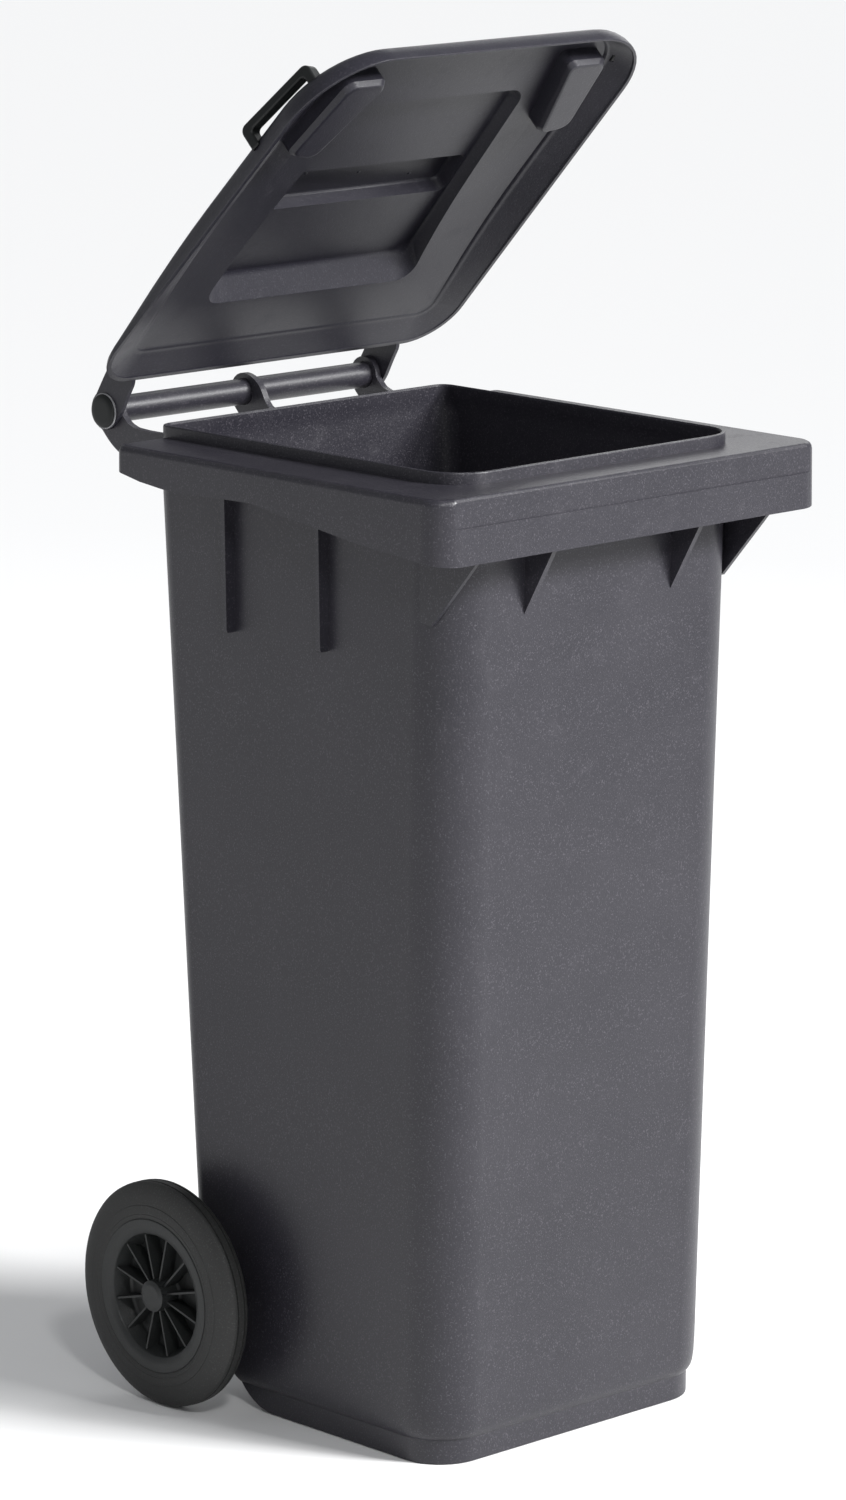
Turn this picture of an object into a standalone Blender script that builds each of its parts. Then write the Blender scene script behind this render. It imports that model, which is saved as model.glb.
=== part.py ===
"""Two-wheeled refuse bin of the 80 litre class, with its lid propped open.

Frame: metres, +Z up, +X to the bin's left as it faces the viewer at -Y. The origin is on the
floor under the middle of the flat base. The hinge, the handle bar and the wheels are at +Y.
Lengths below are millimetres and become metres through MM.
"""
import math

import bmesh
import bpy
from mathutils import Matrix, Vector

MM = 0.001
GAP = 0.3                      # clearance between neighbouring pieces

# Tub
WALL = 4.0
BASE_HALF = 161.4
BASE_FRONT = -102.0
SKIRT_HEIGHT = 22.0
TUB_HALF_LOW = 167.6           # half width just above the base
TUB_FRONT_LOW = -108.2
TUB_REAR_LOW = 201.7
TUB_LOW_Z = 50.0
TUB_HALF_TOP = 174.0
TUB_FRONT_TOP = -129.2
TUB_REAR_TOP = 243.0
TUB_TOP_Z = 836.0
FRONT_RADIUS = 46.0            # plan radius of the two front corners
REAR_RADIUS = 22.0

# Collar round the mouth, and the raised lip inside it
COLLAR_HALF = 225.0
COLLAR_FRONT = -168.2
COLLAR_REAR = 231.0
COLLAR_TOP = 844.3
COLLAR_BOTTOM = 788.5
COLLAR_FRONT_RADIUS = 25.0
COLLAR_REAR_RADIUS = 9.0
COLLAR_WALL = 3.6
BAND_PROUD = 1.8               # the lower front band stands out by this much
BAND_TOP = 818.5
LIP_HALF = 169.1
LIP_FRONT = -129.7
LIP_REAR = 240.8
LIP_TOP = 854.3
LIP_WALL = 4.0

# Hinge line: bar, pins and lid arms share it
HINGE_Y = 322.0
HINGE_Z = 855.0
BAR_RADIUS = 11.5
BAR_BORE = 9.0
BAR_HALF = 152.4
EAR_RADIUS = 16.5
EAR_OUTER = 153.0
MIDDLE_EAR_X = 6.0
EAR_THICK = 6.0
ARM_INNER = 153.4
ARM_OUTER = 157.4
ARM_HUB_RADIUS = 17.5
PIN_RADIUS = 8.4
CAP_RADIUS = 14.7
CAP_FACE = 162.0
BUSH_OUTER = 10.7
FLANGE_RADIUS = 15.6
FLANGE_OUTER = 158.8

# Lid, in its own frame: v runs forward from the hinge, w runs up through the lid
LID_OPEN = 45.0                # degrees above level at rest
LID_RIM = -4.0
LID_TOP = 18.5
LID_CEILING = 14.5
LID_REAR_V = 46.5
LID_FRONT_V = 463.5
LID_HALF = 206.0
LID_TAPER = 0.03
LID_FRONT_BOW = 4.0
LID_WALL = 4.0

# Wheels and axle
AXLE_Y = 196.5
AXLE_Z = 100.0
AXLE_RADIUS = 10.0
AXLE_END = 214.5
WHEEL_RADIUS = 100.0
WHEEL_PLANE = 206.0            # middle plane of each tyre, from the bin's middle
HUB_BORE = 12.3
SPOKE_COUNT = 12
CLIP_OFFSET = 4.0              # middle of the retaining clip, outboard of the wheel plane
BOSS_END = 175.0
BRACKET_RADIUS = 19.0

# Look of each material: colour, roughness, metallic
ANTHRACITE = ((0.085, 0.082, 0.095), 0.45, 0.0)
LID_GREY = ((0.075, 0.073, 0.085), 0.42, 0.0)
BLACK_PLASTIC = ((0.012, 0.013, 0.014), 0.4, 0.0)
WHEEL_PLASTIC = ((0.022, 0.023, 0.023), 0.5, 0.0)
RUBBER = ((0.02, 0.02, 0.02), 0.75, 0.0)
STEEL = ((0.55, 0.56, 0.58), 0.3, 1.0)
BUSH_PLASTIC = ((0.32, 0.32, 0.33), 0.5, 0.0)


# ---------------------------------------------------------------- scene helpers

def clear_scene():
    for obj in list(bpy.data.objects):
        bpy.data.objects.remove(obj, do_unlink=True)


def new_collection(name):
    group = bpy.data.collections.new(name)
    bpy.context.scene.collection.children.link(group)
    return group


clear_scene()
PARTS = new_collection("wheelie_bin")
CUTTERS = new_collection("cutters")


def make_material(name, look):
    colour, roughness, metallic = look
    mat = bpy.data.materials.new(name)
    mat.use_nodes = True
    shader = mat.node_tree.nodes["Principled BSDF"]
    shader.inputs["Base Color"].default_value = (*colour, 1.0)
    shader.inputs["Roughness"].default_value = roughness
    shader.inputs["Metallic"].default_value = metallic
    return mat


def make_empty(name, location, x_degrees=0.0):
    empty = bpy.data.objects.new(name, None)
    empty.location = Vector(location) * MM
    empty.rotation_euler = (math.radians(x_degrees), 0.0, 0.0)
    PARTS.objects.link(empty)
    return empty


def make_object(name, bm, group=PARTS, parent=None):
    """Turn a bmesh in millimetres into an object in metres, with faces pointing out."""
    bmesh.ops.recalc_face_normals(bm, faces=bm.faces)
    bmesh.ops.scale(bm, vec=(MM, MM, MM), verts=bm.verts)
    mesh = bpy.data.meshes.new(name)
    bm.to_mesh(mesh)
    bm.free()
    obj = bpy.data.objects.new(name, mesh)
    group.objects.link(obj)
    obj.parent = parent
    return obj


def finish(obj, look):
    obj.data.materials.append(make_material(obj.name, look))
    obj.data.shade_smooth()
    obj.data.set_sharp_from_angle(angle=math.radians(35.0))
    return obj


def as_cutter(obj):
    obj.hide_render = True
    obj.display_type = 'WIRE'
    return obj


def combine(target, other, operation):
    mod = target.modifiers.new(other.name, 'BOOLEAN')
    mod.operation = operation
    mod.solver = 'EXACT'
    mod.object = as_cutter(other)


def cut(target, *cutters):
    for cutter in cutters:
        combine(target, cutter, 'DIFFERENCE')


def join(target, *others):
    for other in others:
        combine(target, other, 'UNION')


# ---------------------------------------------------------------- shape helpers

def arc(cy, cz, radius, start, end, steps):
    """Points on a circle in a plane, from start to end degrees."""
    points = []
    for i in range(steps + 1):
        angle = math.radians(start + (end - start) * i / steps)
        points.append((cy + radius * math.cos(angle), cz + radius * math.sin(angle)))
    return points


def rounded_plan(half, front, rear, front_radius, rear_radius, steps=6):
    """Plan outline of a rounded rectangle, anticlockwise seen from above."""
    right_front = arc(half - front_radius, front + front_radius, front_radius, 270, 360, steps)
    right_rear = arc(half - rear_radius, rear - rear_radius, rear_radius, 0, 90, steps)
    left_rear = arc(rear_radius - half, rear - rear_radius, rear_radius, 90, 180, steps)
    left_front = arc(front_radius - half, front + front_radius, front_radius, 180, 270, steps)
    return right_front + right_rear + left_rear + left_front


def loft(levels):
    """Closed solid through plan outlines of equal point count, given as (height, outline)."""
    bm = bmesh.new()
    rings = [[bm.verts.new((x, y, z)) for x, y in outline] for z, outline in levels]
    for low, high in zip(rings, rings[1:]):
        for i in range(len(low)):
            j = (i + 1) % len(low)
            bm.faces.new((low[i], low[j], high[j], high[i]))
    bm.faces.new(reversed(rings[0]))
    bm.faces.new(rings[-1])
    return bm


def prism_x(outline, low_x, high_x):
    """A flat outline in Y and Z, extruded along X."""
    bm = bmesh.new()
    face = bm.faces.new([bm.verts.new((low_x, y, z)) for y, z in outline])
    extruded = bmesh.ops.extrude_face_region(bm, geom=[face])
    moved = [item for item in extruded["geom"] if isinstance(item, bmesh.types.BMVert)]
    bmesh.ops.translate(bm, vec=(high_x - low_x, 0, 0), verts=moved)
    return bm


def box(low, high):
    """Box between two corners."""
    bm = bmesh.new()
    bmesh.ops.create_cube(bm, size=1.0)
    size = [b - a for a, b in zip(low, high)]
    middle = [(a + b) / 2 for a, b in zip(low, high)]
    bmesh.ops.scale(bm, vec=size, verts=bm.verts)
    bmesh.ops.translate(bm, vec=middle, verts=bm.verts)
    return bm


def rod_x(radius, low_x, high_x, y=0.0, z=0.0, sides=32):
    """Cylinder along X."""
    bm = bmesh.new()
    bmesh.ops.create_cone(bm, cap_ends=True, segments=sides, radius1=radius, radius2=radius,
                          depth=high_x - low_x)
    quarter = Matrix.Rotation(math.radians(90.0), 3, 'Y')
    bmesh.ops.rotate(bm, cent=(0, 0, 0), matrix=quarter, verts=bm.verts)
    bmesh.ops.translate(bm, vec=((low_x + high_x) / 2, y, z), verts=bm.verts)
    return bm


def turned(name, profile, location, outward, steps, parent=None, closed=True):
    """Solid of revolution about X. The profile is (distance outboard, radius) in millimetres.

    The profile is drawn in the XZ plane with its axis on Z, and the object is then turned so
    that Z points outward along +X or -X.
    """
    following = profile[1:] + profile[:1]
    doubled_area = sum(r * b - s * a for (a, r), (b, s) in zip(profile, following))
    if doubled_area > 0:
        profile = list(reversed(profile))
    mesh = bpy.data.meshes.new(name)
    verts = [(radius * MM, 0.0, along * MM) for along, radius in profile]
    edges = [(i, i + 1) for i in range(len(verts) - 1)]
    if closed:
        edges.append((len(verts) - 1, 0))
    mesh.from_pydata(verts, edges, [])
    obj = bpy.data.objects.new(name, mesh)
    PARTS.objects.link(obj)
    obj.parent = parent
    obj.location = Vector(location) * MM
    obj.rotation_euler = (0.0, math.radians(90.0 * outward), 0.0)
    add_screw(obj, steps)
    return obj


def add_screw(obj, steps):
    screw = obj.modifiers.new("turn", 'SCREW')
    screw.axis = 'Z'
    screw.angle = math.radians(360.0)
    screw.steps = steps
    screw.render_steps = steps
    screw.use_merge_vertices = True
    screw.merge_threshold = 0.00001
    screw.use_smooth_shade = True
    return screw


# ---------------------------------------------------------------- tub

def along(low, high, z):
    """A tub measure at height z, between its low and its top value."""
    return low + (high - low) * (z - TUB_LOW_Z) / (TUB_TOP_Z - TUB_LOW_Z)


def tub_plan(z, inset):
    half = along(TUB_HALF_LOW, TUB_HALF_TOP, z) - inset
    front = along(TUB_FRONT_LOW, TUB_FRONT_TOP, z) + inset
    rear = along(TUB_REAR_LOW, TUB_REAR_TOP, z) - inset
    return rounded_plan(half, front, rear, FRONT_RADIUS - inset, REAR_RADIUS - inset)


def base_plan(inset):
    rear = TUB_REAR_LOW - 6.0 - inset
    return rounded_plan(BASE_HALF - inset, BASE_FRONT + inset, rear,
                        FRONT_RADIUS - 4.0 - inset, REAR_RADIUS - 4.0 - inset)


def lip_plan(inset):
    return rounded_plan(LIP_HALF - inset, LIP_FRONT + inset, LIP_REAR - inset,
                        40.0 - inset, 14.0 - inset)


def tub_outside():
    levels = [(0.0, base_plan(1.5)), (1.5, base_plan(0.0)), (SKIRT_HEIGHT, base_plan(0.0))]
    for z, inset in ((SKIRT_HEIGHT + 1.0, 4.0), (28.0, 1.8), (37.0, 0.5), (TUB_LOW_Z, 0.0)):
        levels.append((z, tub_plan(z, inset)))
    levels.append((TUB_TOP_Z, tub_plan(TUB_TOP_Z, 0.0)))
    levels.append((COLLAR_TOP - 2.0, lip_plan(0.0)))
    levels.append((LIP_TOP - 1.2, lip_plan(0.0)))
    levels.append((LIP_TOP, lip_plan(1.2)))
    return loft(levels)


def tub_inside():
    levels = [(WALL, base_plan(WALL + 3.0)), (WALL + 3.0, base_plan(WALL)),
              (SKIRT_HEIGHT + 4.0, base_plan(WALL))]
    levels.append((TUB_LOW_Z, tub_plan(TUB_LOW_Z, WALL)))
    levels.append((TUB_TOP_Z - 6.0, tub_plan(TUB_TOP_Z - 6.0, WALL)))
    levels.append((COLLAR_TOP - 2.0, lip_plan(LIP_WALL)))
    levels.append((LIP_TOP - 1.2, lip_plan(LIP_WALL)))
    levels.append((LIP_TOP + 1.0, lip_plan(LIP_WALL - 1.4)))
    return loft(levels)


RECESS_START_Y = 102.0
RECESS_WALL_Y = 160.0
RECESS_CORNER_Z = 60.0
RECESS_TOP_Z = 165.0
RECESS_TOP_RADIUS = 45.0


def recess_outline(wall):
    """Side profile of the hollow under the tub's rear, where the axle runs.

    A wall above 0 moves the profile into the tub, which leaves a wall of that thickness.
    """
    outline = []
    run = RECESS_WALL_Y - RECESS_START_Y - wall
    rise = RECESS_CORNER_Z - wall
    for i in range(7):
        angle = math.radians(15.0 * i)
        y = RECESS_START_Y + run * math.sin(angle)
        z = RECESS_CORNER_Z - rise * math.cos(angle)
        outline.append((y, z))
    centre_y = RECESS_WALL_Y + RECESS_TOP_RADIUS
    centre_z = RECESS_TOP_Z - RECESS_TOP_RADIUS
    outline += arc(centre_y, centre_z, RECESS_TOP_RADIUS + wall, 180, 90, 4)
    outline += [(300.0, RECESS_TOP_Z + wall), (300.0, -20.0), (RECESS_START_Y, -20.0)]
    return outline


def make_tub_cavity():
    cavity = make_object("tub_cavity", tub_inside(), CUTTERS)
    behind = make_object("recess_wall", prism_x(recess_outline(WALL), -250, 250), CUTTERS)
    cut(cavity, behind)
    return cavity


# ---------------------------------------------------------------- collar, ribs and brackets

def collar_plan(inset):
    return rounded_plan(COLLAR_HALF - inset, COLLAR_FRONT + inset, COLLAR_REAR - inset,
                        COLLAR_FRONT_RADIUS - inset, max(COLLAR_REAR_RADIUS - inset, 0.8), steps=4)


def make_collar():
    """The turned-down rim round the mouth, deeper at the front than at the sides."""
    levels = [(COLLAR_BOTTOM, collar_plan(0.0)), (COLLAR_TOP - 5.0, collar_plan(0.6)),
              (COLLAR_TOP - 2.0, collar_plan(1.7)), (COLLAR_TOP, collar_plan(4.6))]
    collar = make_object("collar", loft(levels), CUTTERS)
    band = make_object("front_band", band_shape(), CUTTERS)
    join(collar, band)
    under = [(COLLAR_BOTTOM - 5.0, collar_plan(COLLAR_WALL)),
             (COLLAR_TOP - 9.0, collar_plan(COLLAR_WALL + 0.6)),
             (COLLAR_TOP - COLLAR_WALL, collar_plan(COLLAR_WALL + 6.0))]
    hollow = make_object("collar_hollow", loft(under), CUTTERS)
    low_edge = [(-200.0, COLLAR_BOTTOM - 20.0), (-200.0, COLLAR_BOTTOM - 4.0), (-171.0, COLLAR_BOTTOM),
                (-140.0, 791.0), (20.0, 810.5), (60.0, 814.0), (180.0, 814.0), (206.0, 817.0),
                (240.0, 823.0), (240.0, COLLAR_BOTTOM - 20.0)]
    trim = make_object("collar_trim", prism_x(low_edge, -260, 260), CUTTERS)
    cut(collar, hollow, trim)
    return collar


def band_shape():
    """The lower part of the collar's front stands out a little from the part above it."""
    half = COLLAR_HALF - 17.0
    proud = COLLAR_FRONT - BAND_PROUD
    levels = []
    for z, out in ((COLLAR_BOTTOM, 0.0), (BAND_TOP - 2.0, 0.0), (BAND_TOP, BAND_PROUD)):
        front = proud + out
        levels.append((z, rounded_plan(half - out, front, COLLAR_FRONT + 2.5, 1.7, 0.2, steps=2)))
    return loft(levels)


SIDE_RIB_Y = (139.5, 22.5)     # middle of each side rib
SIDE_RIB_THICK = 5.0
SIDE_RIB_DEPTH = 12.0
SIDE_RIB_BOTTOM = 689.0
WEB_X = 86.0                   # middle of each front web
WEB_THICK = 5.0
CORNER_WEB_X = 170.5


def side_rib(name, y, side):
    """A rib down the side wall that flares out under the collar."""
    wall = TUB_HALF_TOP - 8.0
    edge = TUB_HALF_TOP + SIDE_RIB_DEPTH - 1.5
    reach = COLLAR_HALF - COLLAR_WALL - 2.5
    flare = reach - edge
    outline = [(wall, SIDE_RIB_BOTTOM), (edge - 3.0, SIDE_RIB_BOTTOM), (edge - 1.0, SIDE_RIB_BOTTOM + 4.0)]
    for i in range(6):
        angle = math.radians(18.0 * i)
        outline.append((reach - flare * math.cos(angle), 804.0 + flare * 0.85 * math.sin(angle)))
    outline += [(reach, COLLAR_TOP - 2.0), (wall, COLLAR_TOP - 2.0)]
    bm = bmesh.new()
    face = bm.faces.new([bm.verts.new((side * x, y - SIDE_RIB_THICK / 2, z)) for x, z in outline])
    extruded = bmesh.ops.extrude_face_region(bm, geom=[face])
    moved = [item for item in extruded["geom"] if isinstance(item, bmesh.types.BMVert)]
    bmesh.ops.translate(bm, vec=(0, SIDE_RIB_THICK, 0), verts=moved)
    return make_object(name, bm, CUTTERS)


def front_web(name, x, low_z, wall_y, thick):
    """A thin triangular web between the front wall and the collar."""
    tip = COLLAR_FRONT + COLLAR_WALL + 2.0
    outline = [(wall_y + 14.0, low_z + 2.0), (wall_y, low_z), (wall_y - 1.5, low_z + 1.0),
               (tip, COLLAR_BOTTOM + 6.0), (tip, COLLAR_TOP - 2.0), (wall_y + 14.0, COLLAR_TOP - 2.0)]
    return make_object(name, prism_x(outline, x - thick / 2, x + thick / 2), CUTTERS)


# Front edges of the bar brackets, from the ring down to the collar: y and z from the hinge line
SIDE_EAR_FRONT = ((-48.0, -12.4), (-34.0, -11.6), (-25.0, -8.6), (-19.5, -3.5), (-16.6, 2.0))
MIDDLE_EAR_FRONT = ((-48.0, -12.4), (-33.0, -10.5), (-28.5, -5.8), (-23.5, 3.4), (-15.5, 11.0))
EAR_UNDER = ((5.0, -17.0), (-3.0, -29.5), (-12.0, -38.0), (-30.0, -44.0), (-84.0, -47.0))


def ear(name, middle_x, front):
    """A bracket behind the collar that carries the handle bar."""
    ring = arc(0.0, 0.0, EAR_RADIUS, 125 if middle_x == MIDDLE_EAR_X else 170, -60, 14)
    wall_y = 225.0 - HINGE_Y
    outline = ring + list(EAR_UNDER) + [(wall_y, -47.0), (wall_y, -12.4)] + list(front)
    placed = [(HINGE_Y + y, HINGE_Z + z) for y, z in outline]
    half = EAR_THICK / 2
    return make_object(name, prism_x(placed, middle_x - half, middle_x + half), CUTTERS)


def axle_bracket(name, low_x, high_x):
    """A plate across the recess, round the axle."""
    ring = arc(AXLE_Y, AXLE_Z, BRACKET_RADIUS, 215, 360, 8)
    outline = [(RECESS_WALL_Y - 3.0, 70.0)] + ring + [(AXLE_Y + 14.0, RECESS_TOP_Z + 2.0),
                                                     (RECESS_WALL_Y - 3.0, RECESS_TOP_Z + 2.0)]
    return make_object(name, prism_x(outline, low_x, high_x), CUTTERS)


def make_body():
    """One moulding: tub, collar, lip, ribs, webs, bar brackets and axle brackets."""
    body = make_object("body", tub_outside())
    recess = make_object("recess", prism_x(recess_outline(0.0), -250, 250), CUTTERS)
    cut(body, recess)
    join(body, make_collar())
    for side, word in ((-1, "left"), (1, "right")):
        for number, y in enumerate(SIDE_RIB_Y):
            join(body, side_rib("side_rib_%s_%d" % (word, number), y, side))
        join(body, front_web("front_web_" + word, side * WEB_X, 727.0, -125.0, WEB_THICK))
        join(body, front_web("corner_web_" + word, side * CORNER_WEB_X, 727.0, -104.0, 4.0))
        join(body, ear("ear_" + word, side * (EAR_OUTER - EAR_THICK / 2), SIDE_EAR_FRONT))
        join(body, axle_bracket("cheek_" + word, *sorted((side * 148.0, side * 156.0))))
        join(body, axle_bracket("inner_bracket_" + word, *sorted((side * 52.0, side * 58.0))))
        boss = rod_x(15.0, *sorted((side * 150.0, side * BOSS_END)), y=AXLE_Y, z=AXLE_Z, sides=28)
        join(body, make_object("boss_" + word, boss, CUTTERS))
    join(body, ear("ear_middle", MIDDLE_EAR_X, MIDDLE_EAR_FRONT))
    cut(body, make_tub_cavity())
    bar_way = rod_x(BAR_RADIUS + GAP, -170, 170, y=HINGE_Y, z=HINGE_Z, sides=40)
    axle_way = rod_x(AXLE_RADIUS + GAP, -190, 190, y=AXLE_Y, z=AXLE_Z, sides=32)
    cut(body, make_object("bar_way", bar_way, CUTTERS), make_object("axle_way", axle_way, CUTTERS))
    return finish(body, ANTHRACITE)


# ---------------------------------------------------------------- hinge line

def make_handle_bar():
    profile = [(-BAR_HALF, BAR_BORE), (-BAR_HALF, BAR_RADIUS), (BAR_HALF, BAR_RADIUS),
               (BAR_HALF, BAR_BORE)]
    bar = turned("handle_bar", profile, (0, HINGE_Y, HINGE_Z), 1, 40)
    return finish(bar, ANTHRACITE)


def make_hinge_pin(word, side):
    """A headed pin that goes through the lid arm into the end of the bar."""
    inner_end = BAR_HALF - 34.0
    profile = [(CAP_FACE, 0.0), (CAP_FACE, 9.0), (CAP_FACE - 0.5, 12.4), (CAP_FACE - 1.6, CAP_RADIUS),
               (FLANGE_OUTER + GAP, CAP_RADIUS), (FLANGE_OUTER + GAP, PIN_RADIUS),
               (inner_end + 3.0, PIN_RADIUS), (inner_end, PIN_RADIUS - 2.0), (inner_end, 0.0)]
    pin = turned("hinge_pin_" + word, profile, (0, HINGE_Y, HINGE_Z), side, 32, closed=False)
    return finish(pin, BLACK_PLASTIC)


def make_hinge_bush(word, side, parent):
    """A flanged bush pressed in the lid arm, between the arm and the pin."""
    bore = PIN_RADIUS + GAP
    profile = [(ARM_INNER, bore), (ARM_INNER, BUSH_OUTER), (ARM_OUTER + GAP, BUSH_OUTER),
               (ARM_OUTER + GAP, FLANGE_RADIUS), (FLANGE_OUTER, FLANGE_RADIUS), (FLANGE_OUTER, bore)]
    bush = turned("hinge_bush_" + word, profile, (0, 0, 0), side, 32, parent=parent)
    return finish(bush, BUSH_PLASTIC)


# ---------------------------------------------------------------- lid (local: X, Y = -v, Z = w)

def lid_half(v):
    return LID_HALF - LID_TAPER * (v - LID_REAR_V)


ARCH_MIDDLE = 265.0            # the lid's sides are highest here
ARCH_FALL = 0.213              # share of the height lost 100 mm behind that
ARCH_LEAST = 0.46              # share of the height left at the rear edge


def arched(v, w):
    """Height of a lid level at v: the shell dips towards the hinge."""
    behind = max(ARCH_MIDDLE - v, 0.0) / 100.0
    share = max(1.0 - ARCH_FALL * behind * behind, ARCH_LEAST)
    return LID_RIM + (w - LID_RIM) * share


def lid_plan(inset, rear_inset):
    """Plan outline of the lid, moved inwards, from the middle of the rear edge round to it."""
    rear = LID_REAR_V + rear_inset
    front = LID_FRONT_V - inset
    rear_radius = max(46.0 - inset, 10.0)
    front_radius = max(74.0 - inset, 14.0)
    half_rear = lid_half(rear) - inset
    half_front = lid_half(front) - inset
    rear_corner = arc(half_rear - rear_radius, rear + rear_radius, rear_radius, -90, 0, 6)
    front_corner = arc(half_front - front_radius, front - LID_FRONT_BOW - front_radius,
                       front_radius, 0, 84, 8)
    side = []
    for share in (0.15, 0.3, 0.45, 0.6):
        x = rear_corner[-1][0] + (front_corner[0][0] - rear_corner[-1][0]) * share
        side.append((x, rear_corner[-1][1] + (front_corner[0][1] - rear_corner[-1][1]) * share))
    bow = [(front_corner[-1][0] * f, front - LID_FRONT_BOW * (0.35 * f * f)) for f in (0.66, 0.33)]
    half = rear_corner + side + front_corner + bow
    return half + [(0.0, front)] + [(-x, v) for x, v in reversed(half)]


def lid_shell(levels):
    """Closed solid through the lid's levels, each given as height, inset and rear inset."""
    bm = bmesh.new()
    rings = []
    for w, inset, rear_inset in levels:
        outline = lid_plan(inset, rear_inset)
        rings.append([bm.verts.new((x, -v, arched(v, w))) for x, v in outline])
    count = len(rings[0])
    for low, high in zip(rings, rings[1:]):
        for i in range(count):
            j = (i + 1) % count
            bm.faces.new((low[i], low[j], high[j], high[i]))
    for ring in (rings[0], rings[-1]):
        for i in range(count // 2 - 1):
            bm.faces.new((ring[i], ring[i + 1], ring[-2 - i], ring[-1 - i]))
        middle = count // 2
        bm.faces.new((ring[middle - 1], ring[middle], ring[middle + 1]))
    return bm


# Levels of the lid's shell: height, inset at the front and sides, inset at the rear
LID_OUTSIDE = ((LID_RIM, 0.0, 0.0), (4.0, 0.8, 3.5), (9.0, 3.0, 10.0), (13.2, 7.0, 20.0),
               (16.4, 13.0, 36.0), (LID_TOP, 22.0, 68.0))
LID_INSIDE = ((LID_RIM - 2.0, 3.2, 3.8), (0.2, 4.0, 7.0), (5.2, 5.2, 14.0), (9.4, 9.0, 24.0),
              (12.4, 17.0, 36.0), (LID_CEILING, 29.0, 90.0))


def trapezoid(rear_v, rear_half, front_v, front_half, radius):
    """Four-sided plan with rounded corners, narrower at the front."""
    corners = [(rear_half, rear_v), (front_half, front_v), (-front_half, front_v), (-rear_half, rear_v)]
    outline = []
    for index, (x, v) in enumerate(corners):
        start = (-90.0, 0.0, 90.0, 180.0)[index]
        cx = x - math.copysign(radius, x)
        cv = v + (radius if index in (0, 3) else -radius)
        outline += arc(cx, cv, radius, start, start + 90.0, 3)
    return [(x, -v) for x, v in outline]


PANEL = (127.0, 127.0, 388.0, 106.0)
POCKET = (226.0, 106.0, 286.0, 102.0)
PANEL_TOP = 30.0
POCKET_TOP = 43.0


def raised(plan, low, high, slope, radius, grow, rear_share=1.0):
    """A block with sloping sides; grow above 0 makes it larger all round.

    The rear side slopes rear_share times as far as the others.
    """
    rear_v, rear_half, front_v, front_half = plan

    def shape(inset):
        move = inset - grow
        return trapezoid(rear_v + inset * rear_share - grow, rear_half - move, front_v - move, front_half - move, radius)

    return loft([(low, shape(0.0)), (high - 2.5, shape(slope - 2.0)), (high, shape(slope + 1.0))])


# Plan corners of a finger well, as x and v: rear outer, front outer, front inner, rear inner
FINGER_CORNERS = ((164.0, 340.0), (151.0, 432.0), (103.0, 432.0), (128.0, 334.0))
FINGER_FLOOR = 0.0
FINGER_RADIUS = 9.0


def finger_plan(side, inset):
    """Plan outline of a finger well, drawn towards its middle by the inset."""
    middle_x = sum(x for x, v in FINGER_CORNERS) / 4
    middle_v = sum(v for x, v in FINGER_CORNERS) / 4
    outline = []
    for index, (x, v) in enumerate(FINGER_CORNERS):
        start = (-90.0, 0.0, 90.0, 180.0)[index]
        cx = x - math.copysign(inset + FINGER_RADIUS, x - middle_x)
        cv = v - math.copysign(inset + FINGER_RADIUS, v - middle_v)
        outline += arc(cx, cv, FINGER_RADIUS, start, start + 90.0, 3)
    return [(side * x, -v) for x, v in outline]


def arm_outline():
    """Side profile of a lid arm: a hub round the pin, and a plate up over the lid's rear edge."""
    hub = arc(0.0, 0.0, ARM_HUB_RADIUS, 285, 100, 12)
    plate = [(24.0, 22.5), (58.0, 28.0), (72.0, 27.0), (100.0, 17.0), (100.0, 13.0), (66.0, 9.5),
             (52.0, 1.0), (46.0, -6.0), (30.0, -10.0), (17.0, -12.5)]
    return [(-v, w) for v, w in hub + plate]


def lid_arm(word, side):
    low, high = sorted((side * ARM_INNER, side * ARM_OUTER))
    return make_object("arm_" + word, prism_x(arm_outline(), low, high), CUTTERS)


GRIP_MIDDLE = (182.0, 384.0)   # x and v
GRIP_TURN = 13.7               # degrees, so that the grip follows the lid's narrowing side
GRIP_HALF_WIDTH = 6.0
GRIP_REAR_V = 341.0
GRIP_FRONT_V = 427.0
GRIP_TOP = 30.0


def grip_outline(grow):
    """Side profile of a bow grip over the lid's shoulder, in v and w."""
    rear, front = GRIP_REAR_V - grow, GRIP_FRONT_V + grow
    foot = 7.5 - grow
    top = GRIP_TOP + grow
    outer = [(rear, foot), (rear, top - 5.0), (rear + 5.0, top), (front - 5.0, top),
             (front, top - 5.0), (front, foot)]
    inner = [(front - 9.0 - 2 * grow, foot), (front - 9.0 - 2 * grow, 19.0), (front - 12.0, 22.0 - grow),
             (rear + 12.0, 22.0 - grow), (rear + 9.0 + 2 * grow, 19.0), (rear + 9.0 + 2 * grow, foot)]
    return [(-v, w) for v, w in outer + inner]


def grip_solid(name, side, grow, group, parent=None):
    middle_x, middle_v = GRIP_MIDDLE
    reach = GRIP_HALF_WIDTH + grow
    bm = prism_x(grip_outline(grow), side * middle_x - reach, side * middle_x + reach)
    turn = Matrix.Rotation(math.radians(-side * GRIP_TURN), 3, 'Z')
    bmesh.ops.rotate(bm, cent=(side * middle_x, -middle_v, 0), matrix=turn, verts=bm.verts)
    return make_object(name, bm, group, parent)


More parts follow.
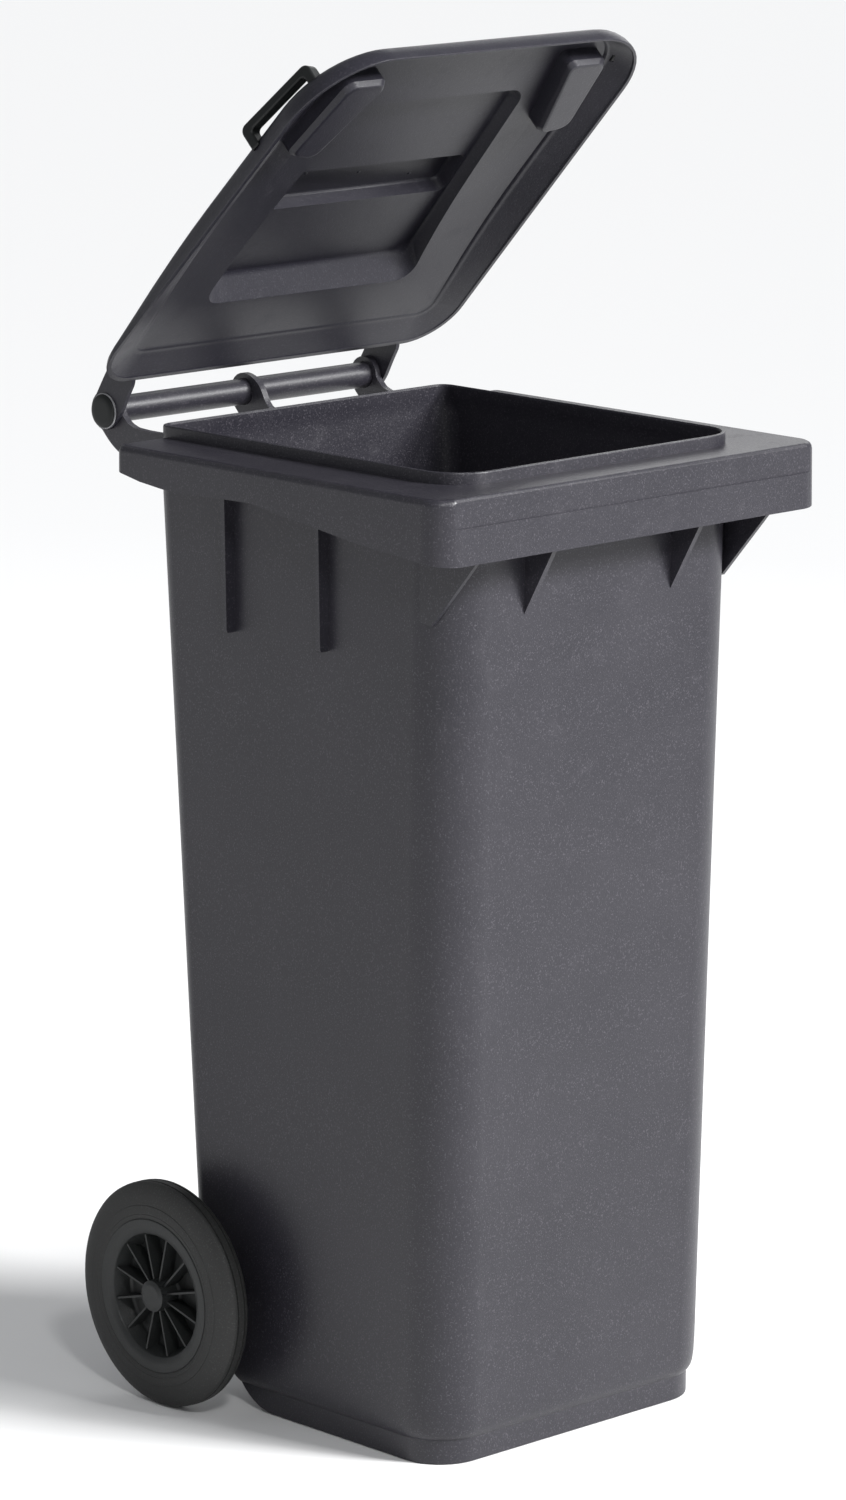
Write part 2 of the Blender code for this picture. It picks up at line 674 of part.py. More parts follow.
def make_lid(parent):
    """One moulding: shell, raised panel and pocket, finger wells and the two hinge arms."""
    lid = make_object("lid", lid_shell(LID_OUTSIDE), parent=parent)
    helpers = []

    def helper(name, bm):
        obj = make_object(name, bm, CUTTERS, parent)
        helpers.append(obj)
        return obj

    join(lid, helper("panel_outside", raised(PANEL, 10.0, PANEL_TOP, 8.0, 16.0, 0.0, 3.6)))
    join(lid, helper("pocket_outside", raised(POCKET, 20.0, POCKET_TOP, 5.0, 10.0, 0.0)))
    shell_inside = helper("lid_cavity", lid_shell(LID_INSIDE))
    panel_inside = helper("panel_inside", raised(PANEL, 6.0, PANEL_TOP - WALL, 8.0, 12.0, -WALL,
                                                 3.6))
    pocket_inside = helper("pocket_inside", raised(POCKET, 10.0, POCKET_TOP - WALL, 5.0, 7.0, -WALL))
    cut(lid, shell_inside, panel_inside, pocket_inside)
    for word, side in (("left", -1), ("right", 1)):
        well = [(FINGER_FLOOR - WALL + 0.6, finger_plan(side, 4.0)), (2.0, finger_plan(side, 1.0)),
                (16.4, finger_plan(side, -1.0))]
        join(lid, helper("well_outside_" + word, loft(well)))
        hollow = [(FINGER_FLOOR, finger_plan(side, 7.5)), (4.0, finger_plan(side, 5.0)),
                  (25.0, finger_plan(side, 2.0))]
        cut(lid, helper("well_inside_" + word, loft(hollow)))
        arm = lid_arm(word, side)
        arm.parent = parent
        join(lid, arm)
        socket = grip_solid("grip_socket_" + word, side, GAP, CUTTERS, parent)
        cut(lid, socket)
    hub_way = rod_x(BUSH_OUTER + GAP, -170, 170, sides=36)
    cut(lid, helper("hub_way", hub_way))
    return finish(lid, LID_GREY)


def make_grip(word, side, parent):
    grip = grip_solid("lid_grip_" + word, side, 0.0, PARTS, parent)
    return finish(grip, BLACK_PLASTIC)


# ---------------------------------------------------------------- wheels

RIM_PROFILE = (
    (17.5, 0.0), (17.5, 10.5), (15.6, 13.8), (-2.0, 15.0), (-4.0, 18.0), (-3.6, 46.0), (-1.5, 50.0),
    (11.5, 54.4), (14.6, 59.5), (15.2, 67.0), (14.6, 68.0), (9.3, 68.0), (8.7, 64.0), (-8.7, 64.0),
    (-9.3, 68.0), (-14.6, 68.0), (-14.4, 58.0), (-8.4, 50.0), (-8.2, 18.0), (-10.5, 16.0),
    (-26.0, 16.0), (-26.0, HUB_BORE), (-0.3, HUB_BORE), (-0.3, 10.5), (2.4, 10.5), (2.4, 12.6),
    (5.6, 12.6), (5.6, 10.5), (9.2, 10.5), (9.2, 0.0))
TYRE_PROFILE = (
    (8.9, 68.3), (14.3, 68.3), (15.1, 71.0), (15.0, 77.0), (12.6, 89.0), (6.8, WHEEL_RADIUS),
    (-6.8, WHEEL_RADIUS), (-12.6, 89.0), (-15.0, 77.0), (-15.1, 71.0), (-14.3, 68.3),
    (-8.9, 68.3), (-8.3, 64.3), (8.3, 64.3))


def wheel_centre(side):
    return (side * WHEEL_PLANE, AXLE_Y, AXLE_Z)


def spoke_set(name, side):
    """Twelve thin ribs from the boss to the dish wall, as one cutter-side solid each."""
    spokes = []
    for number in range(SPOKE_COUNT):
        bm = bmesh.new()
        outline = [(-6.0, 12.5), (10.0, 12.5), (11.0, 53.6), (9.0, 55.0), (-6.0, 52.0)]
        face = bm.faces.new([bm.verts.new((side * a, -0.9, r)) for a, r in outline])
        extruded = bmesh.ops.extrude_face_region(bm, geom=[face])
        moved = [item for item in extruded["geom"] if isinstance(item, bmesh.types.BMVert)]
        bmesh.ops.translate(bm, vec=(0, 1.8, 0), verts=moved)
        spoke = make_object("%s_%02d" % (name, number), bm, CUTTERS)
        spoke.location = Vector(wheel_centre(side)) * MM
        spoke.rotation_euler = (2.0 * math.pi * (number + 0.5) / SPOKE_COUNT, 0.0, 0.0)
        spokes.append(spoke)
    return spokes


def make_rim(word, side):
    rim = turned("wheel_rim_" + word, RIM_PROFILE, wheel_centre(side), side, 40, closed=False)
    join(rim, *spoke_set("spoke_" + word, side))
    return finish(rim, WHEEL_PLASTIC)


def make_tyre(word, side):
    return finish(turned("tyre_" + word, TYRE_PROFILE, wheel_centre(side), side, 40), RUBBER)


def make_wheel_bush(word, side):
    """A plain bearing sleeve in the hub."""
    bore = AXLE_RADIUS + GAP
    profile = [(-25.8, bore), (-25.8, HUB_BORE - GAP), (-0.7, HUB_BORE - GAP), (-0.7, bore)]
    bush = turned("wheel_bush_" + word, profile, wheel_centre(side), side, 32)
    return finish(bush, BUSH_PLASTIC)


def make_clip(word, side):
    """An open spring ring in the axle's groove, which keeps the wheel on."""
    half = 1.0
    profile = [(CLIP_OFFSET - half, 9.0), (CLIP_OFFSET - half, 12.1), (CLIP_OFFSET + half, 12.1),
               (CLIP_OFFSET + half, 9.0)]
    clip = turned("wheel_clip_" + word, profile, wheel_centre(side), side, 32)
    x, y, z = wheel_centre(side)
    mouth = box((x - 15.0, y - 3.0, z - 20.0), (x + 15.0, y + 3.0, z - 2.0))
    cut(clip, make_object("clip_mouth_" + word, mouth, CUTTERS))
    return finish(clip, STEEL)


def make_spacer(word, side):
    """A washer between the body's boss and the wheel hub."""
    profile = [(BOSS_END + GAP, AXLE_RADIUS + GAP), (BOSS_END + GAP, 16.0),
               (WHEEL_PLANE - 26.0 - GAP, 16.0), (WHEEL_PLANE - 26.0 - GAP, AXLE_RADIUS + GAP)]
    spacer = turned("axle_spacer_" + word, profile, (0, AXLE_Y, AXLE_Z), side, 32)
    return finish(spacer, BUSH_PLASTIC)


def make_axle():
    """A round steel bar with a clip groove and a chamfer at each end."""
    groove_low = WHEEL_PLANE + CLIP_OFFSET - 1.3
    groove_high = WHEEL_PLANE + CLIP_OFFSET + 1.3
    half = [(groove_low, AXLE_RADIUS), (groove_low, 8.7), (groove_high, 8.7),
            (groove_high, AXLE_RADIUS), (AXLE_END - 1.5, AXLE_RADIUS), (AXLE_END, AXLE_RADIUS - 1.5),
            (AXLE_END, 0.0)]
    profile = [(-a, r) for a, r in reversed(half)] + half
    axle = turned("axle", profile, (0, AXLE_Y, AXLE_Z), 1, 32, closed=False)
    return finish(axle, STEEL)


# ---------------------------------------------------------------- assembly

def build():
    make_body()
    make_handle_bar()
    lid_frame = make_empty("lid_hinge_axis", (0, HINGE_Y, HINGE_Z), -LID_OPEN)
    make_lid(lid_frame)
    make_axle()
    for word, side in (("left", -1), ("right", 1)):
        make_hinge_pin(word, side)
        make_hinge_bush(word, side, lid_frame)
        make_grip(word, side, lid_frame)
        make_rim(word, side)
        make_tyre(word, side)
        make_wheel_bush(word, side)
        make_clip(word, side)
        make_spacer(word, side)


build()
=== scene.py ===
"""Visual model of the two-wheeled bin, built on the frame.

Lengths are millimetres and become metres in piece(). +Y is the rear and +Z is up.
"""

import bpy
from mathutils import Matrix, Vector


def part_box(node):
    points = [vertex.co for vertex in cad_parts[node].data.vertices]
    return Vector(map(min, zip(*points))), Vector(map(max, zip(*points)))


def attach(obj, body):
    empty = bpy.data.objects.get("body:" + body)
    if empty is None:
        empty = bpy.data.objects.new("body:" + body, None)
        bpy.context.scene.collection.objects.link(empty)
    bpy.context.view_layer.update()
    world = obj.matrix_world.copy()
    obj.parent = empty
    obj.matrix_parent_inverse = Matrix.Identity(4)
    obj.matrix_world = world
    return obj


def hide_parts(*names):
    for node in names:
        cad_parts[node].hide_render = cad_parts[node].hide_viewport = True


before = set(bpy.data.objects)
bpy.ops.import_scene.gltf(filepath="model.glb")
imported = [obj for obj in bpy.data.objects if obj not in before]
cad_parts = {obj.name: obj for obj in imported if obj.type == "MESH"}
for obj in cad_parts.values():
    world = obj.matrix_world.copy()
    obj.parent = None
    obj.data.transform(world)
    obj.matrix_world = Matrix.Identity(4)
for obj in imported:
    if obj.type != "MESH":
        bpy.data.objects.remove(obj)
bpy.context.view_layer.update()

import math

import bmesh
import bpy
from mathutils import Matrix, Vector

MM = 0.001
GAP = 0.3                      # clearance round the grips' feet
FULL_TURN = 2.0 * math.pi

# ---------------------------------------------------------------- places taken from the frame


def middle_of(node):
    """Middle of a frame piece, in millimetres."""
    low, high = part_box(node)
    return [(a + b) / 2.0 / MM for a, b in zip(low, high)]


HINGE = middle_of("handle_bar")
AXLE_Y, AXLE_Z = middle_of("axle")[1:]
WHEELS = {"left": middle_of("tyre_left"), "right": middle_of("tyre_right")}
SIDES = (("left", -1), ("right", 1))
SIGNS = (-1, 1)                # the left side is at -X
LID_OPEN = 45.0                # degrees above level at rest
LID_PLACE = (Matrix.Translation((0.0, HINGE[1], HINGE[2]))
             @ Matrix.Rotation(math.radians(-LID_OPEN), 4, 'X'))

# ---------------------------------------------------------------- shape helpers


def ring(bm, corners, radii, height, segments, cuts=0):
    """A rounded four-cornered loop: front left, front right, rear right, rear left."""
    seen = set(bm.verts)
    bmesh.ops.create_grid(bm, x_segments=1, y_segments=1, size=1.0)
    order = {(-1, -1): 0, (1, -1): 1, (1, 1): 2, (-1, 1): 3}
    by_corner = {}
    for vert in bm.verts:
        if vert not in seen:
            by_corner[order[(round(vert.co.x), round(vert.co.y))]] = vert
    for number, vert in by_corner.items():
        vert.co = (corners[number][0], corners[number][1], 0.0)
    for radius in sorted(set(radii)):
        chosen = [by_corner[i] for i in range(4) if radii[i] == radius]
        bmesh.ops.bevel(bm, geom=chosen, offset=radius, offset_type='OFFSET', segments=segments,
                        profile=0.5, affect='VERTICES', material=-1)
    faces = [face for face in bm.faces if face.verts[0] not in seen]
    # only the loop's own face has no edge shared with the rest of the mesh
    alone = [face for face in faces if all(len(edge.link_faces) == 1 for edge in face.edges)]
    loop = list(alone[0].edges)
    bmesh.ops.delete(bm, geom=alone, context='FACES_ONLY')
    if cuts:
        straight = sorted(loop, key=lambda edge: edge.calc_length())[-4:]
        made = bmesh.ops.subdivide_edges(bm, edges=straight, cuts=cuts)
        fresh = [item for item in made["geom"] if isinstance(item, bmesh.types.BMEdge)]
        loop = list(set(loop + fresh))
    for vert in {vert for edge in loop for vert in edge.verts}:
        vert.co.z = height(vert.co) if callable(height) else height
    return loop


def loft(levels, segments=8, cuts=0, strips=False):
    """A closed body through rounded loops, given as (corners, radii, height) from the bottom up."""
    bm = bmesh.new()
    loops = [ring(bm, corners, radii, height, segments, cuts) for corners, radii, height in levels]
    for low, high in zip(loops, loops[1:]):
        bmesh.ops.bridge_loops(bm, edges=low + high)
    for loop in (loops[0], loops[-1]):
        if strips:
            left = [edge for edge in loop if max(vert.co.x for vert in edge.verts) < 0.0]
            right = [edge for edge in loop if min(vert.co.x for vert in edge.verts) > 0.0]
            bmesh.ops.bridge_loops(bm, edges=left + right)
        else:
            bmesh.ops.holes_fill(bm, edges=loop, sides=0)
    bmesh.ops.recalc_face_normals(bm, faces=bm.faces)
    return bm


def plan(outline, inset):
    """Corners and radii of an outline: half width, front, rear, front radius and rear radius."""
    half, front, rear, front_radius, rear_radius = outline
    across, front, rear = half - inset, front + inset, rear - inset
    corners = ((-across, front), (across, front), (across, rear), (-across, rear))
    front_radius, rear_radius = front_radius - inset, max(rear_radius - inset, 0.8)
    return corners, (front_radius, front_radius, rear_radius, rear_radius)


def plate(corners, low, high, axis='X', segments=6):
    """A flat plate with an outline of (across, up, corner radius), pulled out along an axis."""
    bm = bmesh.new()
    turn = (lambda a, b: (low, a, b)) if axis == 'X' else (lambda a, b: (a, low, b))
    verts = [bm.verts.new(turn(a, b)) for a, b, radius in corners]
    bm.faces.new(verts)
    for vert, (a, b, radius) in zip(verts, corners):
        if radius:
            bmesh.ops.bevel(bm, geom=[vert], offset=radius, offset_type='OFFSET', segments=segments,
                            profile=0.5, affect='VERTICES', material=-1)
    made = bmesh.ops.extrude_face_region(bm, geom=list(bm.faces))
    moved = [item for item in made["geom"] if isinstance(item, bmesh.types.BMVert)]
    step = (high - low, 0, 0) if axis == 'X' else (0, high - low, 0)
    bmesh.ops.translate(bm, vec=step, verts=moved)
    bmesh.ops.recalc_face_normals(bm, faces=bm.faces)
    return bm


def rod(radius, low, high, y=0.0, z=0.0, sides=64):
    """A round bar along X."""
    bm = bmesh.new()
    bmesh.ops.create_cone(bm, cap_ends=True, segments=sides, radius1=radius, radius2=radius,
                          depth=high - low)
    turn = Matrix.Rotation(math.radians(90.0), 3, 'Y')
    bmesh.ops.rotate(bm, cent=(0, 0, 0), matrix=turn, verts=bm.verts)
    bmesh.ops.translate(bm, vec=((low + high) / 2, y, z), verts=bm.verts)
    return bm


def spun(profile, place, side=1, steps=96, closed=True):
    """A body turned about X. The profile is (outboard, radius), and place is its middle."""
    bm = bmesh.new()
    verts = [bm.verts.new((side * along, 0.0, radius)) for along, radius in profile]
    edges = [bm.edges.new(pair) for pair in zip(verts, verts[1:])]
    if closed:
        edges.append(bm.edges.new((verts[-1], verts[0])))
    bmesh.ops.spin(bm, geom=verts + edges, cent=(0, 0, 0), axis=(1, 0, 0), dvec=(0, 0, 0),
                   angle=FULL_TURN, steps=steps, use_merge=True, use_duplicate=False)
    bmesh.ops.remove_doubles(bm, verts=bm.verts, dist=0.001)
    bmesh.ops.recalc_face_normals(bm, faces=bm.faces)
    bmesh.ops.translate(bm, vec=place, verts=bm.verts)
    return bm


def gather(shapes):
    """Several bodies as one mesh."""
    bm = bmesh.new()
    for shape in shapes:
        mesh = bpy.data.meshes.new("part")
        shape.to_mesh(mesh)
        shape.free()
        bm.from_mesh(mesh)
        bpy.data.meshes.remove(mesh)
    return bm


def settle(bm):
    """Put the mesh's elements in an order that depends only on where they are."""
    for elements, place in ((bm.verts, lambda vert: tuple(round(c, 4) for c in vert.co)),
                            (bm.edges, lambda edge: sorted(vert.index for vert in edge.verts)),
                            (bm.faces, lambda face: sorted(vert.index for vert in face.verts))):
        rank = {element: number for number, element in enumerate(sorted(elements, key=place))}
        elements.sort(key=lambda element: rank[element])
        elements.index_update()


def as_object(name, bm):
    """Turn a bmesh into an object of the scene, and free it."""
    settle(bm)
    mesh = bpy.data.meshes.new(name)
    bm.to_mesh(mesh)
    bm.free()
    obj = bpy.data.objects.new(name, mesh)
    bpy.context.scene.collection.objects.link(obj)
    return obj


def carve(base, joins=(), cuts=()):
    """Join and cut the shapes, and give back the result."""
    target = as_object("stock", base)
    tools = []
    for operation, shapes in (("UNION", joins), ("DIFFERENCE", cuts)):
        for shape in shapes:
            tools.append(as_object("tool", shape))
            step = target.modifiers.new("step", 'BOOLEAN')
            step.operation = operation
            step.solver = 'EXACT'
            step.object = tools[-1]
    graph = bpy.context.evaluated_depsgraph_get()
    mesh = bpy.data.meshes.new_from_object(target.evaluated_get(graph))
    result = bmesh.new()
    result.from_mesh(mesh)
    bpy.data.meshes.remove(mesh)
    for obj in [target] + tools:
        old = obj.data
        bpy.data.objects.remove(obj, do_unlink=True)
        bpy.data.meshes.remove(old)
    return result


def piece(name, bm, finish, body, replaces=(), width=0.6, angle=32.0, place=None):
    """Make a shown piece that rides on a body, with its sharp edges rounded by the width."""
    if place is not None:
        bmesh.ops.transform(bm, matrix=place, verts=bm.verts)
    bmesh.ops.remove_doubles(bm, verts=bm.verts, dist=0.002)
    settle(bm)
    bmesh.ops.dissolve_limit(bm, angle_limit=math.radians(0.4), verts=bm.verts, edges=bm.edges)
    bmesh.ops.scale(bm, vec=(MM, MM, MM), verts=bm.verts)
    obj = as_object(name, bm)
    obj.data.materials.clear()
    obj.data.materials.append(finish)
    obj.data.shade_smooth()
    obj.data.set_sharp_from_angle(angle=math.radians(angle))
    if width:
        edge = obj.modifiers.new("edge", 'BEVEL')
        edge.width = width * MM
        edge.segments = 2
        edge.limit_method = 'ANGLE'
        edge.angle_limit = math.radians(angle)
        edge.use_clamp_overlap = True
    smooth = obj.modifiers.new("smooth", 'WEIGHTED_NORMAL')
    smooth.keep_sharp = True
    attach(obj, body)
    if replaces:
        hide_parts(*replaces)


# ---------------------------------------------------------------- finishes


class Socket:
    """A node socket that can be used in sums."""

    def __init__(self, tree, source=None):
        self.tree = tree
        self.source = source

    def add(self, kind, inputs=None, output=0, **settings):
        """A new node of a kind, with its settings and its socket values or links."""
        node = self.tree.nodes.new(kind)
        for name, value in settings.items():
            setattr(node, name, value)
        for key, value in (inputs or {}).items():
            if isinstance(value, Socket):
                self.tree.links.new(value.source, node.inputs[key])
            else:
                node.inputs[key].default_value = value
        return Socket(self.tree, node.outputs[output])

    def sum(self, operation, first, second):
        return self.add("ShaderNodeMath", {0: first, 1: second}, operation=operation)

    def __add__(self, other):
        return self.sum('ADD', self, other)

    def __radd__(self, other):
        return self.sum('ADD', other, self)

    def __sub__(self, other):
        return self.sum('SUBTRACT', self, other)

    def __rsub__(self, other):
        return self.sum('SUBTRACT', other, self)

    def __mul__(self, other):
        return self.sum('MULTIPLY', self, other)

    def __rmul__(self, other):
        return self.sum('MULTIPLY', other, self)


def noise(base, coords, scale, detail=3.0, roughness=0.55):
    return base.add("ShaderNodeTexNoise", {"Vector": coords, "Scale": scale, "Detail": detail,
                                           "Roughness": roughness})


def between(base, value, low, high):
    """0 below the low value, 1 above the high one."""
    return base.add("ShaderNodeMapRange", {0: value, 1: low, 2: high})


def mixed(base, factor, first, second):
    return base.add("ShaderNodeMix", {0: factor, 6: (*first, 1.0), 7: (*second, 1.0)}, output=2,
                    data_type='RGBA')


def moulded(name, dark, light, roughness, grain=620.0, depth=0.0002, glint_paint=0.0, metallic=0.0,
            gloss=0.5, streak=(1.0, 1.0, 1.0)):
    """A moulded or rolled finish: cloudy tone, fine grain, scuffs and small bright specks of painted
    glint.
    """
    mat = bpy.data.materials.new(name)
    mat.use_nodes = True
    tree = mat.node_tree
    shader = tree.nodes["Principled BSDF"]
    base = Socket(tree)
    coords = base.add("ShaderNodeTexCoord", output=3)
    drawn = base.add("ShaderNodeMapping", {"Vector": coords, "Scale": streak})
    cloud = noise(base, drawn, 7.0, 4.0)
    fine = noise(base, drawn, grain, 2.0)
    scuff = between(base, noise(base, coords, 42.0, 6.0, 0.7), 0.56, 0.72)
    # painted glints: small bright specks in the base colour that stand in for glints of light on the
    # grain; the same mask also raises the bump
    painted_glints = between(base, noise(base, coords, grain * 1.1, 1.0), 0.58, 0.74)
    # the colour mixes random tone, fine grain and real scuffs with the painted glints
    tone_and_glints = cloud * 0.34 + fine * 0.26 + scuff * 0.14 + painted_glints * glint_paint
    colour = mixed(base, tone_and_glints, dark, light)
    rough = roughness - 0.05 + cloud * 0.10 + (fine - 0.5) * 0.16 + scuff * 0.10
    bump = base.add("ShaderNodeBump", {"Strength": 0.5, "Distance": depth,
                                       "Height": fine + painted_glints * 0.4})
    tree.links.new(colour.source, shader.inputs["Base Color"])
    tree.links.new(rough.source, shader.inputs["Roughness"])
    tree.links.new(bump.source, shader.inputs["Normal"])
    shader.inputs["Metallic"].default_value = metallic
    shader.inputs["Specular IOR Level"].default_value = gloss
    return mat


# each finish's speckle amount sets how bright its painted glints are
TUB_FINISH = moulded("tub_grain", (0.004, 0.004, 0.008), (0.048, 0.045, 0.054), 0.38, glint_paint=0.8,
                     gloss=0.42)
LID_FINISH = moulded("lid_grain", (0.003, 0.003, 0.007), (0.040, 0.038, 0.047), 0.38, glint_paint=0.4,
                     gloss=0.36)
BLACK_FINISH = moulded("black_trim", (0.003, 0.004, 0.004), (0.010, 0.011, 0.011), 0.45,
                       depth=0.00005, gloss=0.3)
WHEEL_FINISH = moulded("wheel_moulding", (0.007, 0.008, 0.008), (0.036, 0.038, 0.038), 0.44,
                       glint_paint=0.3, gloss=0.4)
TYRE_FINISH = moulded("tyre_rubber_skin", (0.007, 0.007, 0.007), (0.056, 0.057, 0.056), 0.60,
                      glint_paint=0.4, gloss=0.35)
STEEL_FINISH = moulded("zinc_plate", (0.42, 0.43, 0.45), (0.66, 0.67, 0.69), 0.30, grain=1500.0,
                       depth=0.00003, metallic=1.0, streak=(0.15, 1.0, 1.0))
BUSH_FINISH = moulded("grey_bush", (0.24, 0.24, 0.25), (0.40, 0.40, 0.41), 0.50, grain=1200.0)

# ---------------------------------------------------------------- tub

WALL = 4.0
LOW_Z, TOP_Z = 50.0, 836.0
# half width, front, rear, front corner radius and rear corner radius
TUB_LOW = (167.6, -108.2, 201.7, 46.0, 22.0)
TUB_HIGH = (174.0, -129.2, 243.0, 46.0, 22.0)
BASE = (161.4, -102.0, 195.7, 42.0, 18.0)
LIP = (169.1, -129.7, 240.8, 40.0, 14.0)
COLLAR = (225.0, -170.0, 231.0, 25.0, 9.0)
LIP_TOP = 854.3
COLLAR_TOP, COLLAR_BOTTOM = 844.3, 788.5
COLLAR_WALL = 3.6
# heights with their insets
FOOT = ((0.0, 1.5), (0.5, 0.4), (1.8, 0.0), (21.0, 0.0))
FLARE = ((23.0, 4.2), (26.0, 2.4), (30.0, 1.2), (37.0, 0.4), (LOW_Z, 0.0), (TOP_Z, 0.0))
LIP_EDGE = ((COLLAR_TOP - 2.0, 0.0), (LIP_TOP - 1.6, 0.0), (LIP_TOP - 0.4, 0.5), (LIP_TOP, 1.6))
FLOOR = ((WALL, 12.0), (WALL + 1.4, 7.0), (WALL + 4.5, 4.6), (WALL + 9.0, 4.0), (26.0, WALL))
INNER_WALL = ((LOW_Z, WALL), (TOP_Z - 6.0, WALL))
MOUTH = ((COLLAR_TOP - 2.0, WALL), (LIP_TOP - 1.6, WALL), (LIP_TOP + 1.0, WALL - 1.8))
COLLAR_OUTSIDE = ((COLLAR_BOTTOM, 0.0), (COLLAR_TOP - 6.0, 0.4), (COLLAR_TOP - 3.4, 1.0),
                  (COLLAR_TOP - 1.2, 2.4), (COLLAR_TOP, 4.8))
COLLAR_UNDER = ((COLLAR_BOTTOM - 5.0, COLLAR_WALL), (COLLAR_TOP - 9.0, COLLAR_WALL + 0.6),
                (COLLAR_TOP - COLLAR_WALL, COLLAR_WALL + 6.0))


def stacked(outline, heights):
    return [(*plan(outline, inset), z) for z, inset in heights]


def tapered(heights):
    """Loops up the tub, which widens evenly from its low outline to its high one."""
    levels = []
    for z, inset in heights:
        share = (z - LOW_Z) / (TOP_Z - LOW_Z)
        outline = [a + (b - a) * share for a, b in zip(TUB_LOW, TUB_HIGH)]
        levels.append((*plan(outline, inset), z))
    return levels


def tub_outside():
    return loft(stacked(BASE, FOOT) + tapered(FLARE) + stacked(LIP, LIP_EDGE), segments=12)


def tub_inside():
    return loft(stacked(BASE, FLOOR) + tapered(INNER_WALL) + stacked(LIP, MOUTH), segments=12)


BAY_START = 102.0              # where the base ends and the hollow under the rear begins
BAY_FRONT, BAY_ROOF = 160.0, 165.0
BAY_FOOT_RADIUS, BAY_ROOF_RADIUS = 56.0, 45.0


def axle_bay(wall):
    """The hollow under the rear where the axle runs, made larger by a wall."""
    front, roof = BAY_FRONT - wall, BAY_ROOF + wall
    below, behind = -20.0, 300.0
    corners = [(BAY_START, below, 0.0), (BAY_START, wall, 0.0), (front, wall, BAY_FOOT_RADIUS - wall),
               (front, roof, BAY_ROOF_RADIUS + wall), (behind, roof, 0.0), (behind, below, 0.0)]
    return plate(corners, -250.0, 250.0, segments=12)


BAND_TOP = 818.5               # the collar's front stands proud below this height
RECESS_DEEP = 1.8
RECESS_X = (-207.0, 215.0)
# (y, z) along the collar's lower edge, closed below it
SWEEP = ((-200.0, 768.0), (-200.0, 784.0), (-171.0, COLLAR_BOTTOM), (-140.0, 792.5), (-62.0, 799.0),
         (-2.0, 807.0), (60.0, 815.0), (122.0, 813.5), (169.0, 813.0), (199.0, 816.0),
         (226.0, 821.0), (240.0, 823.0), (240.0, 768.0))


def collar():
    """The turned-down rim round the mouth, whose lower edge sweeps up towards the rear."""
    front, back = COLLAR[1] - 2.0, COLLAR[1] + RECESS_DEEP
    above = COLLAR_TOP + 1.0
    panel = plate([(front, BAND_TOP, 0.0), (back, BAND_TOP + 1.2, 0.0), (back, COLLAR_TOP - 3.0, 0.0),
                   (COLLAR[1] + 4.6, above, 0.0), (front, above, 0.0)], *RECESS_X)
    under = loft(stacked(COLLAR, COLLAR_UNDER), 10)
    trim = plate([(y, z, 0.0) for y, z in SWEEP], -260.0, 260.0)
    return carve(loft(stacked(COLLAR, COLLAR_OUTSIDE), 10), cuts=[panel, under, trim])


SIDE_RIB_Y = (139.5, 22.5)
SIDE_RIB_HALF = 2.5
SIDE_RIB_BOTTOM = 689.0
WEB_X, CORNER_WEB_X = 86.0, 170.5
WEB_BOTTOM = 727.0


def side_rib(y, side):
    """A rib down the side wall that flares out under the collar."""
    wall, edge, reach = 166.0, 184.5, COLLAR[0] - COLLAR_WALL - 2.5
    top = COLLAR_TOP - 2.0
    corners = [(wall, SIDE_RIB_BOTTOM, 0.0), (edge - 2.0, SIDE_RIB_BOTTOM, 2.5), (edge, 804.0, 0.0),
               (edge + 2.5, 817.0, 0.0), (edge + 12.0, 829.0, 5.0), (reach, 834.0, 0.0),
               (reach, top, 0.0), (wall, top, 0.0)]
    corners = [(side * x, z, r) for x, z, r in corners]
    return plate(corners, y - SIDE_RIB_HALF, y + SIDE_RIB_HALF, 'Y')


def front_web(x, low_z, wall_y, thick):
    """A thin triangular web between the front wall and the collar."""
    tip = COLLAR[1] + COLLAR_WALL + 2.0
    corners = [(wall_y + 14.0, low_z + 2.0, 0.0), (wall_y, low_z, 0.0), (tip, COLLAR_BOTTOM + 6.0, 6.0),
               (tip, COLLAR_TOP - 2.0, 0.0), (wall_y + 14.0, COLLAR_TOP - 2.0, 0.0)]
    return plate(corners, x - thick / 2, x + thick / 2)


EAR_RADIUS = 16.5
EAR_RING = ((EAR_RADIUS, -10.0, 9.0), (EAR_RADIUS, EAR_RADIUS, 16.3), (-EAR_RADIUS, EAR_RADIUS, 16.3))
EAR_FOOT = ((-91.0, -12.4, 0.0), (-91.0, -47.0, 0.0), (-84.0, -47.0, 8.0), (-30.0, -44.0, 8.0),
            (-3.0, -29.5, 8.0))
SIDE_EAR = ((-16.6, 0.0, 0.0), (-19.5, -3.5, 1.5), (-25.0, -8.6, 2.0), (-34.0, -11.6, 2.0),
            (-48.0, -12.4, 0.0))
MIDDLE_EAR = ((-23.5, 3.4, 3.0), (-28.5, -5.8, 3.0), (-33.0, -10.5, 2.0), (-48.0, -12.4, 0.0))
MIDDLE_EAR_X, SIDE_EAR_X = 6.0, 150.0
EAR_HALF = 3.0


def ear(x, front):
    """A bracket behind the collar with a ring round the bar; its outline starts from the bar."""
    corners = [(HINGE[1] + y, HINGE[2] + z, r) for y, z, r in EAR_RING + front + EAR_FOOT]
    return plate(corners, x - EAR_HALF, x + EAR_HALF)


BRACKETS = ((148.0, 156.0), (52.0, 58.0))        # inner and outer faces of the axle's brackets
BRACKET_FRONT, BRACKET_TOP = 157.0, 167.0
BOSS_RADIUS, BOSS_START, BOSS_END = 15.0, 150.0, 175.0
BAR_WAY, AXLE_WAY = 11.8, 10.3                   # radii of the holes for the bar and the axle


